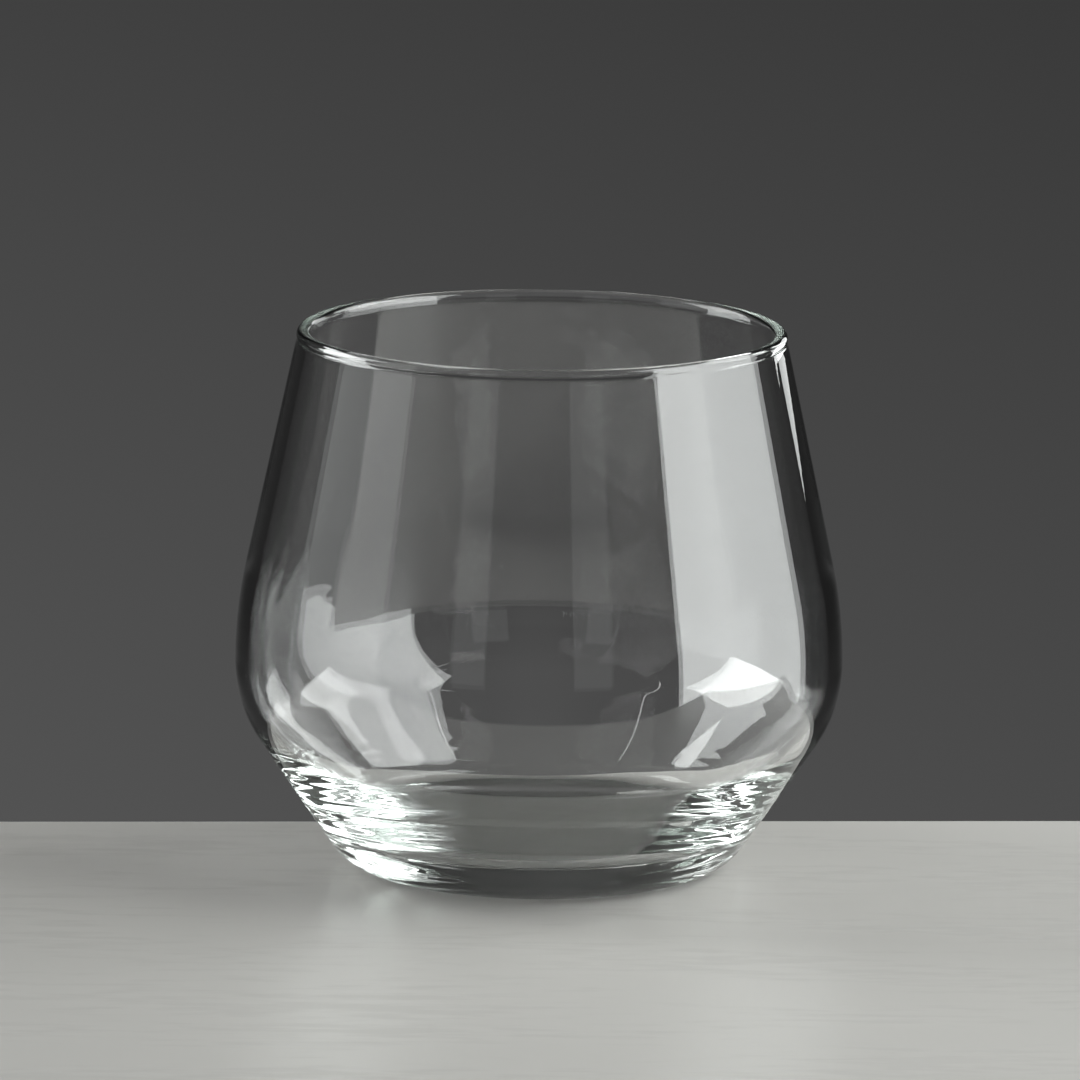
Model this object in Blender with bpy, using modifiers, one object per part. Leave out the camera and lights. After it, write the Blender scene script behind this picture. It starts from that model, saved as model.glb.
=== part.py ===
"""Low whisky tumbler: one turned body of clear glass with a beaded rim, a round shoulder and a solid base.

Metres, +Z up. The origin is the centre of the foot, on the surface that the glass stands on.
"""

import math

import bpy

# Outside of the body
HEIGHT = 0.0840
RIM_DIAMETER = 0.0756  # over the bead
WIDEST_DIAMETER = 0.0940
WIDEST_HEIGHT = 0.0322
WALL_CURVE_RADIUS = 0.0705  # gentle bow of the wall above the widest point
SHOULDER_RADIUS = 0.0217  # tighter turn below the widest point
FOOT_DIAMETER = 0.0500  # outer edge of the flat ring that the glass stands on
HEEL_RADIUS = 0.0087  # round between the lower cone and that ring

# Thickness of the glass
RIM_WALL = 0.0018  # just below the bead
SHOULDER_WALL = 0.0022  # at the widest point of the inside
CONE_WALL = 0.0022  # least wall between the inner shoulder and the outer cone
FLOOR_HEIGHT = 0.0045  # lowest point of the inner floor above the foot

# Rim bead, a round that stands a little proud of the wall on both sides
BEAD_PROUD_OUTSIDE = 0.00018
BEAD_PROUD_INSIDE = 0.00012
BEAD_NECK_RADIUS = 0.0020

# Inside of the bowl
INNER_WALL_CURVE_RADIUS = 0.0680
INNER_SHOULDER_RADIUS = 0.0180
INNER_CONE_SPLAY = 9.0  # degrees by which the inner cone lies flatter than the outer one
FLOOR_CORNER_RADIUS = 0.0070
FLOOR_DISH_RISE = 0.0046  # from the middle of the dished floor to the top of its corner

# Underside
BEARING_WIDTH = 0.0025  # flat ring
PUNT_DEPTH = 0.0005  # hollow inside the ring

# Facets
STEPS_AROUND = 64
BEAD_SEGMENTS = 6
NECK_SEGMENTS = 2
WALL_SEGMENTS = 5
SHOULDER_SEGMENTS = 8
HEEL_SEGMENTS = 7
CORNER_SEGMENTS = 4
DISH_SEGMENTS = 7
PUNT_SEGMENTS = 6


def along(angle, distance, start=(0.0, 0.0)):
    """Point of the profile plane at a distance from a start point, in the direction of an angle."""
    return (start[0] + distance * math.cos(angle), start[1] + distance * math.sin(angle))


def arc(centre, radius, first, last, segments):
    """Points on a circle from the first angle to the last one, both ends included."""
    step = (last - first) / segments
    return [along(first + step * index, radius, centre) for index in range(segments + 1)]


def tangent_angle(upper, upper_radius, lower, lower_radius):
    """Angle of the normal of the straight that touches two circles on their outer sides.

    A negative radius stands for a circle that the straight passes on its inner side.
    """
    dr, dz = upper[0] - lower[0], upper[1] - lower[1]
    return math.atan2(dz, dr) - math.acos((lower_radius - upper_radius) / math.hypot(dr, dz))


def neck(bead, bead_radius, proud, normal, side):
    """Hollow that runs a wall into the bead, as its centre and the angle at which the bead ends.

    The wall's normal points away from the glass. Side is 1 outside and -1 inside, and sets which
    way round the normal turns to run down the wall.
    """
    reach = bead_radius + BEAD_NECK_RADIUS
    tilt = math.acos((reach - proud) / reach)
    end = normal - side * tilt
    return along(end, reach, bead), end


# The bead fills the wall's thickness and stands proud on both sides.
bead_radius = (RIM_WALL + BEAD_PROUD_OUTSIDE + BEAD_PROUD_INSIDE) / 2
bead = (RIM_DIAMETER / 2 - bead_radius, HEIGHT - bead_radius)

# Circles of the outside, from the wall down to the heel
wall = (WIDEST_DIAMETER / 2 - WALL_CURVE_RADIUS, WIDEST_HEIGHT)
shoulder = (WIDEST_DIAMETER / 2 - SHOULDER_RADIUS, WIDEST_HEIGHT)
heel = (FOOT_DIAMETER / 2, HEEL_RADIUS)
wall_normal = tangent_angle(bead, bead_radius - BEAD_PROUD_OUTSIDE, wall, WALL_CURVE_RADIUS)
cone_normal = tangent_angle(shoulder, SHOULDER_RADIUS, heel, HEEL_RADIUS)
outer_neck, outer_bead_end = neck(bead, bead_radius, BEAD_PROUD_OUTSIDE, wall_normal, 1)

# The inner shoulder touches the widest inside and leaves the least wall to the outer cone.
outer_cone_reach = shoulder[0] * math.cos(cone_normal) + shoulder[1] * math.sin(cone_normal) + SHOULDER_RADIUS
inner_shoulder_reach = outer_cone_reach - CONE_WALL - INNER_SHOULDER_RADIUS
inner_widest = WIDEST_DIAMETER / 2 - SHOULDER_WALL
inner_shoulder_r = inner_widest - INNER_SHOULDER_RADIUS
inner_shoulder_z = (inner_shoulder_reach - inner_shoulder_r * math.cos(cone_normal)) / math.sin(cone_normal)
inner_shoulder = (inner_shoulder_r, inner_shoulder_z)
inner_wall = (inner_widest - INNER_WALL_CURVE_RADIUS, inner_shoulder_z)
inner_wall_normal = tangent_angle(bead, BEAD_PROUD_INSIDE - bead_radius, inner_wall, INNER_WALL_CURVE_RADIUS)
inner_neck, inner_bead_end = neck(bead, bead_radius, BEAD_PROUD_INSIDE, inner_wall_normal + math.pi, -1)

# Below the inner shoulder the inner cone lies flatter than the outer one, so the wall thickens into the base.
inner_cone_normal = cone_normal - math.radians(INNER_CONE_SPLAY)
inner_cone_top = along(inner_cone_normal, INNER_SHOULDER_RADIUS, inner_shoulder)
inner_cone_length = (inner_cone_top[1] - FLOOR_HEIGHT - FLOOR_DISH_RISE) / math.cos(inner_cone_normal)

# The floor is dished. Its corner ends the inner cone, and the dish is the circle about the axis that holds
# the corner on its inner side and has its lowest point at the floor's height.
corner_top = along(inner_cone_normal - math.pi / 2, inner_cone_length, inner_cone_top)
corner = along(inner_cone_normal, -FLOOR_CORNER_RADIUS, corner_top)
floor_level = FLOOR_HEIGHT + FLOOR_CORNER_RADIUS
dish_z = (corner[0] ** 2 + corner[1] ** 2 - floor_level**2) / (2 * (corner[1] - floor_level))
dish_radius = dish_z - FLOOR_HEIGHT
dish_end = math.atan2(corner[1] - dish_z, corner[0])

# Underside: the flat ring, then a hollow that leaves it and meets the axis level
punt_radius = FOOT_DIAMETER / 2 - BEARING_WIDTH
punt = []
for index in range(PUNT_SEGMENTS + 1):
    share = index / PUNT_SEGMENTS
    punt.append((punt_radius * (1 - share), PUNT_DEPTH * (1 - math.cos(math.pi * share)) / 2))

# Half section: the inner floor, up the inside, over the rim, down the outside and under the foot
profile = [
    *arc((0.0, dish_z), dish_radius, -math.pi / 2, dish_end, DISH_SEGMENTS),
    *arc(corner, FLOOR_CORNER_RADIUS, dish_end, inner_cone_normal, CORNER_SEGMENTS)[1:],
    *arc(inner_shoulder, INNER_SHOULDER_RADIUS, inner_cone_normal, 0.0, SHOULDER_SEGMENTS),
    *arc(inner_wall, INNER_WALL_CURVE_RADIUS, 0.0, inner_wall_normal, WALL_SEGMENTS)[1:],
    *arc(inner_neck, BEAD_NECK_RADIUS, inner_wall_normal, inner_bead_end - math.pi, NECK_SEGMENTS),
    *arc(bead, bead_radius, inner_bead_end, math.pi / 2, BEAD_SEGMENTS)[1:],
    *arc(bead, bead_radius, math.pi / 2, outer_bead_end, BEAD_SEGMENTS)[1:],
    *arc(outer_neck, BEAD_NECK_RADIUS, outer_bead_end + math.pi, wall_normal + math.pi, NECK_SEGMENTS)[1:],
    *arc(wall, WALL_CURVE_RADIUS, wall_normal, 0.0, WALL_SEGMENTS),
    *arc(shoulder, SHOULDER_RADIUS, 0.0, cone_normal, SHOULDER_SEGMENTS)[1:],
    *arc(heel, HEEL_RADIUS, cone_normal, -math.pi / 2, HEEL_SEGMENTS),
    *punt,
]

for old in list(bpy.data.objects):
    bpy.data.objects.remove(old, do_unlink=True)

collection = bpy.data.collections.new("whisky_tumbler")
bpy.context.scene.collection.children.link(collection)

mesh = bpy.data.meshes.new("tumbler")
edges = [(index, index + 1) for index in range(len(profile) - 1)]
mesh.from_pydata([(r, 0.0, z) for r, z in profile], edges, [])
tumbler = bpy.data.objects.new("tumbler", mesh)
collection.objects.link(tumbler)

turn = tumbler.modifiers.new("turn", "SCREW")
turn.axis = "Z"
turn.angle = 2 * math.pi
turn.steps = STEPS_AROUND
turn.render_steps = STEPS_AROUND
turn.use_merge_vertices = True
turn.merge_threshold = 0.00001
turn.use_smooth_shade = True

glass = bpy.data.materials.new("clear_glass")
glass.use_nodes = True
shader = glass.node_tree.nodes["Principled BSDF"]
shader.inputs["Base Color"].default_value = (0.95, 0.97, 0.96, 1.0)
shader.inputs["Roughness"].default_value = 0.02
shader.inputs["Metallic"].default_value = 0.0
shader.inputs["IOR"].default_value = 1.52
shader.inputs["Transmission Weight"].default_value = 1.0
mesh.materials.append(glass)
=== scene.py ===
import bpy
import numpy as np
from mathutils import Euler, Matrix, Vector


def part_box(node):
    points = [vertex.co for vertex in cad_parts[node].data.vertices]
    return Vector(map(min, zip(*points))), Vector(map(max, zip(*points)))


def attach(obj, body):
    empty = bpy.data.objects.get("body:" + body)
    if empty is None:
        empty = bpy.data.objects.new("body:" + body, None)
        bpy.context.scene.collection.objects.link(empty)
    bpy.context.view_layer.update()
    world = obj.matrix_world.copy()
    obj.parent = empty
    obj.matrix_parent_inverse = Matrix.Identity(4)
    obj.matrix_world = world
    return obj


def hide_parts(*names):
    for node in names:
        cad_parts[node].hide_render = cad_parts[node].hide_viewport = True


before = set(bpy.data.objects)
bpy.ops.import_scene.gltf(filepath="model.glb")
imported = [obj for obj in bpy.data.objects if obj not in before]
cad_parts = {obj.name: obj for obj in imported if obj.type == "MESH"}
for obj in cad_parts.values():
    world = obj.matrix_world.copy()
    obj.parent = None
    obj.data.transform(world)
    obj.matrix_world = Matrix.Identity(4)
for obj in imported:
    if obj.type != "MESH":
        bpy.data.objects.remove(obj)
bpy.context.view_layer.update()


# The tumbler: one body of clear soda-lime glass, blown into a mould from a single gob of glass.
# The rim is fire-polished to a round bead and the wall widens to a round shoulder. Below that a cone runs into
# a thick base, whose outside took a chill from the cool mould and set in fine level ripples.
foot_low, rim_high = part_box("tumbler")
height = rim_high[2] - foot_low[2]
widest = (rim_high[0] - foot_low[0]) / 2
widest_height = 0.0322
wall_curve, shoulder_curve = 0.0705, 0.0217
foot, heel_curve = 0.0250, 0.0087
rim = 0.0378
rim_wall, shoulder_wall, cone_wall = 0.0018, 0.0022, 0.0022
inner_cone_splay = np.radians(9.0)
floor_height, floor_rise, corner_curve = 0.0045, 0.0046, 0.0070
proud_outside, proud_inside, neck_curve = 0.00018, 0.00012, 0.0020
inner_wall_curve, inner_shoulder_curve = 0.0680, 0.0180
bearing_width, punt_depth = 0.0025, 0.0005
ripple_outside, ripple_inside = 9e-6, 2e-6
ripple_shortest, ripple_longest = 0.0020, 0.0042
ripple_count, ripple_rounds, ripple_seed = 40, 4.0, 11
ripple_full_below, ripple_least_above, ripple_least = 0.0075, 0.0125, 0.10
ripple_end, ripple_end_fade = 0.0008, 0.0030
sides_round = 176


def at(angle, distance, start):
    """Point at a distance from a start point of the half section, in the direction of an angle."""
    return np.asarray(start) + distance * np.array([np.cos(angle), np.sin(angle)])


def arc(centre, curve, first, last, count):
    """Points on a circle about a centre, at even angles from the first to the last."""
    angles = np.linspace(first, last, count)[:, None]
    return np.asarray(centre) + curve * np.hstack([np.cos(angles), np.sin(angles)])


def straight(start, end, count):
    """Points at even shares of the way from one point to another, without the two ends."""
    share = np.linspace(0.0, 1.0, count + 2)[1:-1, None]
    return np.asarray(start) * (1.0 - share) + np.asarray(end) * share


def touching(upper, upper_curve, lower, lower_curve):
    """Angle of the normal of the straight that touches two circles on their outer sides."""
    step = np.subtract(upper, lower)
    return np.arctan2(step[1], step[0]) - np.arccos((lower_curve - upper_curve) / np.hypot(*step))


def tumbler_half_section():
    """Half section of the glass, from the middle of the inner floor over the rim to the middle of the foot.

    It is circles joined by the straights that touch them: floor dish, floor corner, inner shoulder, inner wall
    and neck, then the rim bead, then neck, outer wall, shoulder and heel, then the flat ring and a cosine hollow.
    Each row below ends with its number of points, which lie closest together on the outside of the cone and the
    heel, where the ripples are.
    """
    bead_curve = (rim_wall + proud_outside + proud_inside) / 2
    bead = np.array([rim - bead_curve, height - bead_curve])
    wall = np.array([widest - wall_curve, widest_height])
    shoulder = np.array([widest - shoulder_curve, widest_height])
    heel = np.array([foot, heel_curve])
    wall_turn = touching(bead, bead_curve - proud_outside, wall, wall_curve)
    cone_turn = touching(shoulder, shoulder_curve, heel, heel_curve)
    reach = bead_curve + neck_curve
    bead_end = wall_turn - np.arccos((reach - proud_outside) / reach)
    neck = at(bead_end, reach, bead)

    cone = np.array([np.cos(cone_turn), np.sin(cone_turn)])
    inner_reach = shoulder @ cone + shoulder_curve - cone_wall - inner_shoulder_curve
    inner_r = widest - shoulder_wall - inner_shoulder_curve
    inner_z = (inner_reach - inner_r * cone[0]) / cone[1]
    inner_shoulder = np.array([inner_r, inner_z])
    inner_wall = np.array([widest - shoulder_wall - inner_wall_curve, inner_z])
    inner_turn = touching(bead, proud_inside - bead_curve, inner_wall, inner_wall_curve)
    inner_bead_end = inner_turn + np.pi + np.arccos((reach - proud_inside) / reach)
    inner_neck = at(inner_bead_end, reach, bead)

    inner_cone_turn = cone_turn - inner_cone_splay
    inner_cone_top = at(inner_cone_turn, inner_shoulder_curve, inner_shoulder)
    inner_cone_length = (inner_cone_top[1] - floor_height - floor_rise) / np.cos(inner_cone_turn)
    corner_top = at(inner_cone_turn - np.pi / 2, inner_cone_length, inner_cone_top)
    corner = at(inner_cone_turn, -corner_curve, corner_top)
    level = floor_height + corner_curve
    dish = np.array([0.0, (corner @ corner - level**2) / (2 * (corner[1] - level))])
    dish_curve = dish[1] - floor_height
    dish_end = np.arctan2(*(corner - dish)[::-1])

    share = np.linspace(0.0, 1.0, 24)[:, None]
    punt = np.hstack([(foot - bearing_width) * (1 - share), punt_depth * (1 - np.cos(np.pi * share)) / 2])
    return np.vstack([
        arc(dish, dish_curve, -np.pi / 2, dish_end, 32),
        arc(corner, corner_curve, dish_end, inner_cone_turn, 14)[1:],
        straight(corner_top, inner_cone_top, 8),
        arc(inner_shoulder, inner_shoulder_curve, inner_cone_turn, 0.0, 26),
        arc(inner_wall, inner_wall_curve, 0.0, inner_turn, 20)[1:],
        straight(at(inner_turn, inner_wall_curve, inner_wall), at(inner_turn, neck_curve, inner_neck), 24),
        arc(inner_neck, neck_curve, inner_turn, inner_bead_end - np.pi, 6),
        arc(bead, bead_curve, inner_bead_end, np.pi / 2, 14)[1:],
        arc(bead, bead_curve, np.pi / 2, bead_end, 14)[1:],
        arc(neck, neck_curve, bead_end + np.pi, wall_turn + np.pi, 6)[1:],
        straight(at(wall_turn, -neck_curve, neck), at(wall_turn, wall_curve, wall), 40),
        arc(wall, wall_curve, wall_turn, 0.0, 60),
        arc(shoulder, shoulder_curve, 0.0, cone_turn, 76)[1:],
        straight(at(cone_turn, shoulder_curve, shoulder), at(cone_turn, heel_curve, heel), 116),
        arc(heel, heel_curve, cone_turn, -np.pi / 2, 50),
        straight((foot, 0.0), (foot - bearing_width, 0.0), 2),
        punt,
    ])


def rippled(section, sides):
    """Radius and height of the glass on a grid of section points by turns, with the ripples of the mould's chill.

    The ripples are plane waves added together. Each is a few millimetres long down the section and has a whole
    number of waves round the glass, so they make long level lenses. They move the surface along its normal. Their
    weight is full round the base, falls to a tenth above it, and ends before the foot.
    """
    step = np.hypot(*np.diff(section, axis=0).T)
    down = np.concatenate([[0.0], np.cumsum(step)])
    lean = np.gradient(section, axis=0)
    lean /= np.linalg.norm(lean, axis=1, keepdims=True)
    outside = np.arange(len(section)) > np.argmax(section[:, 1])
    level = section[:, 1]
    fade = np.clip((ripple_least_above - level) / (ripple_least_above - ripple_full_below), 0.0, 1.0)
    weight = ripple_least + (1.0 - ripple_least) * fade * fade * (3.0 - 2.0 * fade)
    weight *= np.where(outside, ripple_outside, ripple_inside)
    weight *= np.clip((level - ripple_end) / ripple_end_fade, 0.0, 1.0)

    chance = np.random.default_rng(ripple_seed)
    pitch = chance.uniform(ripple_shortest, ripple_longest, ripple_count)[:, None, None]
    rounds = np.rint(chance.normal(0.0, ripple_rounds, ripple_count))[:, None, None]
    start = chance.uniform(0.0, 2 * np.pi, ripple_count)[:, None, None]
    turn = 2 * np.pi * np.arange(sides) / sides
    waves = np.cos(2 * np.pi * down[None, :, None] / pitch + rounds * turn + start).sum(axis=0)
    rise = weight[:, None] * waves * np.sqrt(2.0 / ripple_count)
    return section[:, :1] - rise * lean[:, 1:], section[:, 1:] + rise * lean[:, :1]


def turned(radius, level):
    """Vertices and faces of a half section carried once round the Z axis.

    Radius and level are given on a grid of section points by turns. The first and last points of the section lie
    on the axis and become one vertex each, closed by a fan of triangles.
    """
    rows, sides = radius.shape
    turn = 2 * np.pi * np.arange(sides) / sides
    rings = np.stack([radius * np.cos(turn), radius * np.sin(turn), level], axis=-1)[1:-1]
    ends = np.array([[0.0, 0.0, level[0, 0]], [0.0, 0.0, level[-1, 0]]])
    here = np.arange(sides)
    after = (here + 1) % sides
    row = 2 + sides * np.arange(rows - 3)[:, None]
    last = 2 + sides * (rows - 3)
    quads = np.stack([row + here, row + sides + here, row + sides + after, row + after], axis=-1).reshape(-1, 4)
    fan_in = np.stack([np.zeros(sides, int), 2 + here, 2 + after], axis=-1)
    fan_out = np.stack([np.ones(sides, int), last + after, last + here], axis=-1)
    return np.vstack([ends, rings.reshape(-1, 3)]), fan_in.tolist() + quads.tolist() + fan_out.tolist()


glass_verts, glass_faces = turned(*rippled(tumbler_half_section(), sides_round))
glass_mesh = bpy.data.meshes.new("tumbler_glass")
glass_mesh.from_pydata(glass_verts.tolist(), [], glass_faces)
glass_mesh.shade_smooth()
tumbler = bpy.data.objects.new("tumbler_glass", glass_mesh)
bpy.context.scene.collection.objects.link(tumbler)


def mottle_group():
    """Shader group of soft cloudy patches: a slow noise cut by a faster one, spread from none to full.

    Coverage is the share of the surface that the patches reach.
    """
    group = bpy.data.node_groups.new("faint_mottle", "ShaderNodeTree")
    group.interface.new_socket("Vector", in_out="INPUT", socket_type="NodeSocketVector")
    group.interface.new_socket("Scale", in_out="INPUT", socket_type="NodeSocketFloat")
    group.interface.new_socket("Coverage", in_out="INPUT", socket_type="NodeSocketFloat")
    group.interface.new_socket("Mask", in_out="OUTPUT", socket_type="NodeSocketFloat")
    nodes, links = group.nodes, group.links
    inside, outside = nodes.new("NodeGroupInput"), nodes.new("NodeGroupOutput")
    slow, fast = nodes.new("ShaderNodeTexNoise"), nodes.new("ShaderNodeTexNoise")
    slow.inputs["Detail"].default_value, fast.inputs["Detail"].default_value = 2.0, 4.0
    faster = nodes.new("ShaderNodeMath")
    faster.operation = "MULTIPLY"
    faster.inputs[1].default_value = 5.3
    both = nodes.new("ShaderNodeMath")
    both.operation = "MULTIPLY"
    edge = nodes.new("ShaderNodeMath")
    edge.operation = "MULTIPLY_ADD"
    edge.inputs[1].default_value, edge.inputs[2].default_value = -0.22, 0.36
    top = nodes.new("ShaderNodeMath")
    top.inputs[1].default_value = 0.16
    spread = nodes.new("ShaderNodeMapRange")
    spread.interpolation_type = "SMOOTHSTEP"
    links.new(inside.outputs["Vector"], slow.inputs["Vector"])
    links.new(inside.outputs["Vector"], fast.inputs["Vector"])
    links.new(inside.outputs["Scale"], slow.inputs["Scale"])
    links.new(inside.outputs["Scale"], faster.inputs[0])
    links.new(faster.outputs["Value"], fast.inputs["Scale"])
    links.new(slow.outputs["Fac"], both.inputs[0])
    links.new(fast.outputs["Fac"], both.inputs[1])
    links.new(inside.outputs["Coverage"], edge.inputs[0])
    links.new(edge.outputs["Value"], top.inputs[0])
    links.new(both.outputs["Value"], spread.inputs["Value"])
    links.new(edge.outputs["Value"], spread.inputs["From Min"])
    links.new(top.outputs["Value"], spread.inputs["From Max"])
    links.new(spread.outputs["Result"], outside.inputs["Mask"])
    return group


def speck_group():
    """Shader group of single specks: a small round in a few of the cells of a scattered pattern.

    Spacing is the number of cells in a metre, Size the speck's radius as a share of a cell, and Share how many
    of the cells have one.
    """
    group = bpy.data.node_groups.new("fine_specks", "ShaderNodeTree")
    group.interface.new_socket("Vector", in_out="INPUT", socket_type="NodeSocketVector")
    group.interface.new_socket("Spacing", in_out="INPUT", socket_type="NodeSocketFloat")
    group.interface.new_socket("Size", in_out="INPUT", socket_type="NodeSocketFloat")
    group.interface.new_socket("Share", in_out="INPUT", socket_type="NodeSocketFloat")
    group.interface.new_socket("Mask", in_out="OUTPUT", socket_type="NodeSocketFloat")
    nodes, links = group.nodes, group.links
    inside, outside = nodes.new("NodeGroupInput"), nodes.new("NodeGroupOutput")
    cells = nodes.new("ShaderNodeTexVoronoi")
    near = nodes.new("ShaderNodeMapRange")
    near.inputs["To Min"].default_value, near.inputs["To Max"].default_value = 1.0, 0.0
    split = nodes.new("ShaderNodeSeparateColor")
    chosen = nodes.new("ShaderNodeMath")
    chosen.operation = "LESS_THAN"
    only = nodes.new("ShaderNodeMath")
    only.operation = "MULTIPLY"
    links.new(inside.outputs["Vector"], cells.inputs["Vector"])
    links.new(inside.outputs["Spacing"], cells.inputs["Scale"])
    links.new(cells.outputs["Distance"], near.inputs["Value"])
    links.new(inside.outputs["Size"], near.inputs["From Max"])
    links.new(cells.outputs["Color"], split.inputs["Color"])
    links.new(split.outputs["Red"], chosen.inputs[0])
    links.new(inside.outputs["Share"], chosen.inputs[1])
    links.new(near.outputs["Result"], only.inputs[0])
    links.new(chosen.outputs["Value"], only.inputs[1])
    links.new(only.outputs["Value"], outside.inputs["Mask"])
    return group


faint_mottle, fine_specks = mottle_group(), speck_group()

glass = bpy.data.materials.new("clear_glass")
glass.use_nodes = True
nodes, links = glass.node_tree.nodes, glass.node_tree.links
shader = nodes["Principled BSDF"]
shader.inputs["Base Color"].default_value = (1.0, 1.0, 1.0, 1.0)
shader.inputs["IOR"].default_value = 1.52
shader.inputs["Transmission Weight"].default_value = 1.0
tint = nodes.new("ShaderNodeVolumeAbsorption")
tint.inputs["Color"].default_value = (0.80, 0.90, 0.84, 1.0)
tint.inputs["Density"].default_value = 6.0
links.new(tint.outputs["Volume"], nodes["Material Output"].inputs["Volume"])

# A film left by wiping, and a few specks of dust, take the polish off a little.
place = nodes.new("ShaderNodeTexCoord")
wiped = nodes.new("ShaderNodeMapping")
wiped.inputs["Scale"].default_value = (1.0, 1.0, 0.30)
film = nodes.new("ShaderNodeGroup")
film.node_tree = faint_mottle
film.inputs["Scale"].default_value = 38.0
film.inputs["Coverage"].default_value = 0.45
dust = nodes.new("ShaderNodeGroup")
dust.node_tree = fine_specks
dust.inputs["Spacing"].default_value = 130.0
dust.inputs["Size"].default_value = 0.020
dust.inputs["Share"].default_value = 0.10
film_haze = nodes.new("ShaderNodeMath")
film_haze.operation = "MULTIPLY"
film_haze.inputs[1].default_value = 0.008
haze = nodes.new("ShaderNodeMath")
haze.operation = "MULTIPLY_ADD"
haze.inputs[1].default_value = 0.40
links.new(place.outputs["Object"], wiped.inputs["Vector"])
links.new(wiped.outputs["Vector"], film.inputs["Vector"])
links.new(place.outputs["Object"], dust.inputs["Vector"])
links.new(film.outputs["Mask"], film_haze.inputs[0])
links.new(dust.outputs["Mask"], haze.inputs[0])
links.new(film_haze.outputs["Value"], haze.inputs[2])
links.new(haze.outputs["Value"], shader.inputs["Roughness"])
glass_mesh.materials.append(glass)
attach(tumbler, "root")
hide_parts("tumbler")


# The floor: a plain pale board with a satin coat of paint and a rounded edge, that the glass stands on.
# Its far edge runs close behind the glass, a few degrees askew. A film of air is left under the foot.
board_half_width, board_near, board_far = 0.280, 0.170, 0.031
board_thick, board_round, board_gap = 0.020, 0.0025, 0.00003
board_askew = np.radians(2.9)


def board(half_width, near, far, thick, edge_round, askew):
    """Vertices and faces of a rectangular board, its top at zero and its edges rounded.

    Rings of points go once round the rectangle. Each ring is moved in from the outline by the quarter circle of the
    edge, first over the top edge and then under the bottom one, and a face closes the board at each end.
    """
    points_a_side, points_over_edge = 60, 8
    share = np.linspace(0.0, 1.0, points_a_side, endpoint=False)
    ends = np.array([[half_width, far], [-half_width, far], [-half_width, -near], [half_width, -near]])
    outline = np.vstack([ends[side] + share[:, None] * (ends[(side + 1) % 4] - ends[side]) for side in range(4)])
    middle = np.array([0.0, (far - near) / 2])
    half = np.array([half_width, (far + near) / 2])
    angle = np.linspace(0.0, np.pi / 2, points_over_edge)
    inset = edge_round * np.concatenate([1 - np.sin(angle), 1 - np.cos(angle)])
    level = np.concatenate([edge_round * (np.cos(angle) - 1), -thick + edge_round * (1 - np.sin(angle))])
    plan = middle + (outline - middle)[None] * (1 - inset[:, None, None] / half)
    turn = np.array([[np.cos(askew), np.sin(askew)], [-np.sin(askew), np.cos(askew)]])
    plan = (plan - (0.0, far)) @ turn + (0.0, far)
    verts = np.concatenate([plan, np.broadcast_to(level[:, None, None], plan.shape[:2] + (1,))], axis=-1)
    rings, around = plan.shape[:2]
    here = np.arange(around)
    row = around * np.arange(rings - 1)[:, None]
    after = (here + 1) % around
    sides = np.stack([row + here, row + around + here, row + around + after, row + after], axis=-1).reshape(-1, 4)
    return verts.reshape(-1, 3), sides.tolist() + [here.tolist(), (around * (rings - 1) + here[::-1]).tolist()]


board_verts, board_faces = board(board_half_width, board_near, board_far, board_thick, board_round, board_askew)
board_verts -= (0.0, 0.0, board_gap)
board_mesh = bpy.data.meshes.new("pale_board")
board_mesh.from_pydata(board_verts.tolist(), [], board_faces)
floor = bpy.data.objects.new("pale_board", board_mesh)
bpy.context.scene.collection.objects.link(floor)

paint = bpy.data.materials.new("pale_paint")
paint.use_nodes = True
nodes, links = paint.node_tree.nodes, paint.node_tree.links
shader = nodes["Principled BSDF"]
place = nodes.new("ShaderNodeTexCoord")
brushed = nodes.new("ShaderNodeMapping")
brushed.inputs["Scale"].default_value = (0.25, 1.0, 1.0)
tone = nodes.new("ShaderNodeGroup")
tone.node_tree = faint_mottle
tone.inputs["Scale"].default_value = 60.0
tone.inputs["Coverage"].default_value = 0.6
colours = nodes.new("ShaderNodeMix")
colours.data_type = "RGBA"
colours.inputs["A"].default_value = (0.470, 0.460, 0.440, 1.0)
colours.inputs["B"].default_value = (0.440, 0.430, 0.412, 1.0)
grit = nodes.new("ShaderNodeGroup")
grit.node_tree = fine_specks
grit.inputs["Spacing"].default_value = 900.0
grit.inputs["Size"].default_value = 0.35
grit.inputs["Share"].default_value = 0.30
satin = nodes.new("ShaderNodeMapRange")
satin.inputs["To Min"].default_value, satin.inputs["To Max"].default_value = 0.34, 0.42
relief = nodes.new("ShaderNodeBump")
relief.inputs["Strength"].default_value = 0.15
relief.inputs["Distance"].default_value = 0.00005
links.new(place.outputs["Object"], brushed.inputs["Vector"])
links.new(brushed.outputs["Vector"], tone.inputs["Vector"])
links.new(place.outputs["Object"], grit.inputs["Vector"])
links.new(tone.outputs["Mask"], colours.inputs["Factor"])
links.new(tone.outputs["Mask"], satin.inputs["Value"])
links.new(grit.outputs["Mask"], relief.inputs["Height"])
links.new(colours.outputs["Result"], shader.inputs["Base Color"])
links.new(satin.outputs["Result"], shader.inputs["Roughness"])
links.new(relief.outputs["Normal"], shader.inputs["Normal"])
board_mesh.materials.append(paint)


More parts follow.
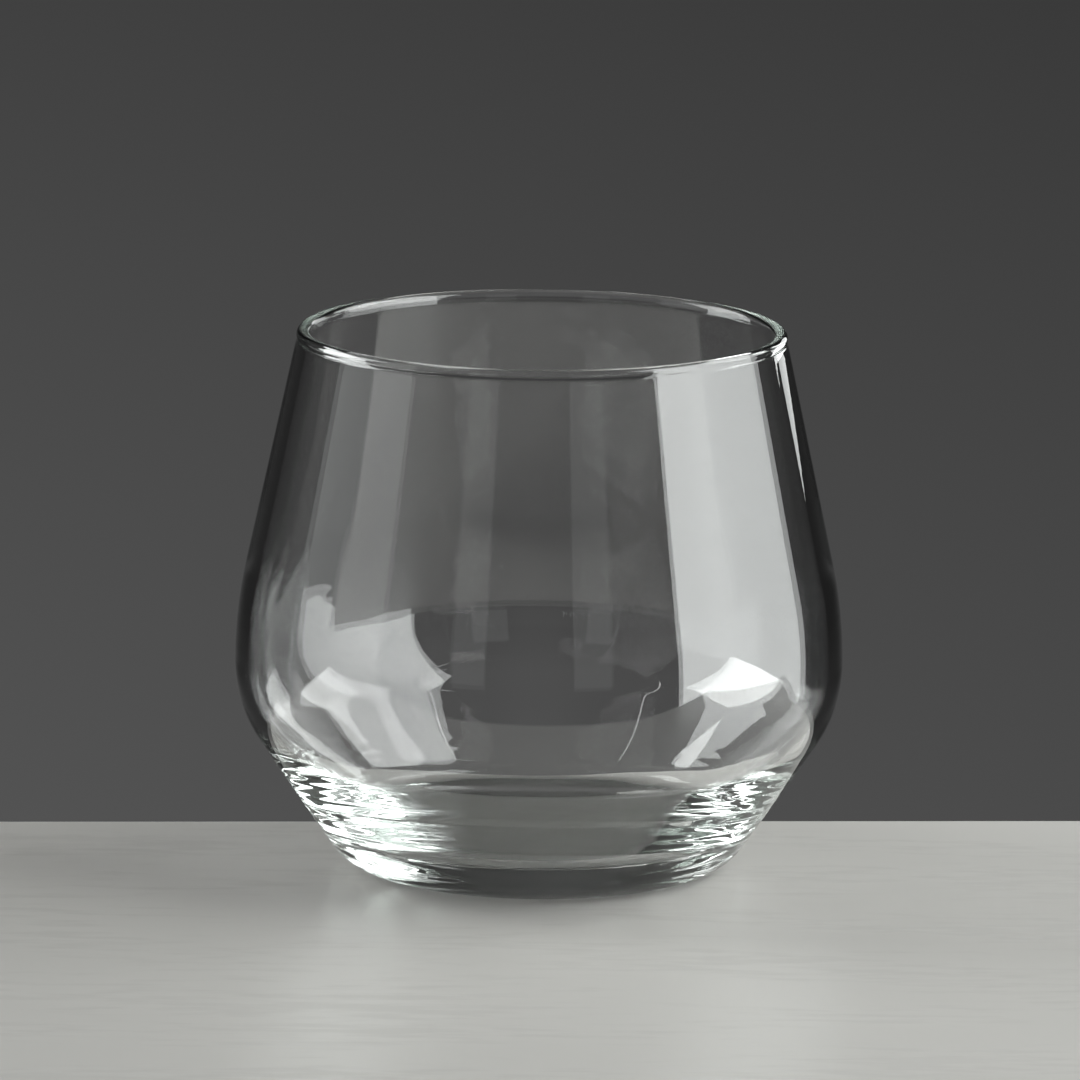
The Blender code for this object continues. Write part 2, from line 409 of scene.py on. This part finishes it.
# The studio: a grey backdrop, lighter towards the floor and darker to the sides, with soft boxes round the glass.
# A tall one on the right and a high one on the left make the main reflections, and weaker ones fill in between them.
# The backdrop shows to the eye and in the glass, and a plain white fill takes its place for matt surfaces.
world = bpy.data.worlds.new("studio")
bpy.context.scene.world = world
world.use_nodes = True
nodes, links = world.node_tree.nodes, world.node_tree.links
backdrop = nodes["Background"]
direction = nodes.new("ShaderNodeTexCoord")
split = nodes.new("ShaderNodeSeparateXYZ")
shade = nodes.new("ShaderNodeMapRange")
shade.inputs["From Min"].default_value, shade.inputs["From Max"].default_value = -0.225, -0.130
shade.inputs["To Min"].default_value, shade.inputs["To Max"].default_value = 0.0807, 0.0456
slant = nodes.new("ShaderNodeMapRange")
slant.inputs["From Min"].default_value, slant.inputs["From Max"].default_value = -0.06, 0.06
slant.inputs["To Min"].default_value, slant.inputs["To Max"].default_value = 1.11, 0.89
aside = nodes.new("ShaderNodeMath")
aside.operation = "ABSOLUTE"
edges = nodes.new("ShaderNodeMapRange")
edges.interpolation_type = "SMOOTHSTEP"
edges.inputs["From Min"].default_value, edges.inputs["From Max"].default_value = 0.06, 0.34
edges.inputs["To Min"].default_value, edges.inputs["To Max"].default_value = 1.0, 0.30
level = nodes.new("ShaderNodeMath")
level.operation = "MULTIPLY"
fill = nodes.new("ShaderNodeBackground")
fill.inputs["Color"].default_value = (1.0, 1.0, 1.0, 1.0)
fill.inputs["Strength"].default_value = 0.20
path = nodes.new("ShaderNodeLightPath")
mix = nodes.new("ShaderNodeMixShader")
links.new(direction.outputs["Generated"], split.inputs["Vector"])
links.new(split.outputs["Z"], shade.inputs["Value"])
links.new(split.outputs["X"], slant.inputs["Value"])
links.new(shade.outputs["Result"], level.inputs[0])
links.new(slant.outputs["Result"], level.inputs[1])
links.new(split.outputs["X"], aside.inputs[0])
links.new(aside.outputs["Value"], edges.inputs["Value"])
links.new(edges.outputs["Result"], backdrop.inputs["Color"])
links.new(level.outputs["Value"], backdrop.inputs["Strength"])
links.new(path.outputs["Is Diffuse Ray"], mix.inputs["Fac"])
links.new(backdrop.outputs["Background"], mix.inputs[1])
links.new(fill.outputs["Background"], mix.inputs[2])
links.new(mix.outputs["Shader"], nodes["World Output"].inputs["Surface"])


def soft_box(name, place, towards, width, tall, near, far):
    """Rectangular area lamp at a place, facing a point, with its brightness as a share of white.

    From about a third of its width on, the brightness goes evenly from the near value to the far one.
    """
    fall_start = 0.35
    lamp = bpy.data.lights.new(name, "AREA")
    lamp.shape = "RECTANGLE"
    lamp.size, lamp.size_y = width, tall
    lamp.energy = np.pi * width * tall
    lamp.color = (0.97, 1.0, 0.99)
    lamp.use_nodes = True
    nodes, links = lamp.node_tree.nodes, lamp.node_tree.links
    face = nodes.new("ShaderNodeNewGeometry")
    across = nodes.new("ShaderNodeSeparateXYZ")
    fall = nodes.new("ShaderNodeMapRange")
    fall.inputs["From Min"].default_value = fall_start
    fall.inputs["To Min"].default_value, fall.inputs["To Max"].default_value = near, far
    links.new(face.outputs["Parametric"], across.inputs["Vector"])
    links.new(across.outputs["X"], fall.inputs["Value"])
    links.new(fall.outputs["Result"], nodes["Emission"].inputs["Strength"])
    box = bpy.data.objects.new(name, lamp)
    box.location = place
    box.rotation_euler = (Vector(towards) - Vector(place)).to_track_quat("-Z", "Y").to_euler()
    box.visible_camera = False
    bpy.context.scene.collection.objects.link(box)


soft_box("soft_box_right", (0.55, -0.06, 0.42), (0.0, -0.06, 0.42), 0.68, 1.16, 5.6, 2.3)
soft_box("soft_box_right_back", (0.442, 0.250, 0.386), (0.0, 0.0, 0.03), 0.32, 0.36, 4.2, 4.2)
soft_box("soft_box_left", (-0.55, -0.08, 0.02), (0.0, -0.08, 0.02), 0.452, 0.36, 0.7, 0.7)
soft_box("soft_box_left_high", (-0.54, 0.205, 0.375), (0.0, 0.205, 0.375), 0.39, 0.43, 6.2, 6.2)
soft_box("soft_box_far", (0.433, 0.781, 0.14), (0.0, 0.0, 0.03), 0.35, 0.26, 2.4, 2.4)
soft_box("strip_front_left", (-0.58, -1.163, 0.25), (0.0, 0.0, 0.05), 0.30, 0.60, 0.28, 0.28)
soft_box("strip_front_right", (0.455, -1.218, 0.25), (0.0, 0.0, 0.05), 0.34, 0.60, 0.28, 0.28)

# Light goes round many times in the thick base before it comes out.
base_bounces = 32
bpy.context.scene.cycles.max_bounces = base_bounces
bpy.context.scene.cycles.glossy_bounces = base_bounces
bpy.context.scene.cycles.transmission_bounces = base_bounces


# The camera: a long lens about one and a half metres in front of the glass, looking down at it by some eleven
# degrees and rolled by a little over half a degree, as the photograph does.
photo_side = 1080
pixels_per_metre = 6469.0
stand_off, stand_over = 1.490, 0.03974
looked_down, rolled = np.radians(11.358), np.radians(0.60)
aim_height = 0.0509
sensor_side = 36.0
camera_data = bpy.data.cameras.new("camera")
camera_data.sensor_width = sensor_side
camera_data.lens = sensor_side * pixels_per_metre * stand_off / photo_side
camera = bpy.data.objects.new("camera", camera_data)
camera.location = (0.0, -stand_off * np.cos(looked_down), stand_over + stand_off * np.sin(looked_down))
gaze = Vector((0.0, 0.0, aim_height)) - camera.location
upright = gaze.to_track_quat("-Z", "Y").to_matrix()
camera.rotation_euler = (upright @ Euler((0, 0, rolled)).to_matrix()).to_euler()
bpy.context.scene.collection.objects.link(camera)
bpy.context.scene.camera = camera
bpy.context.scene.view_settings.view_transform = "Standard"
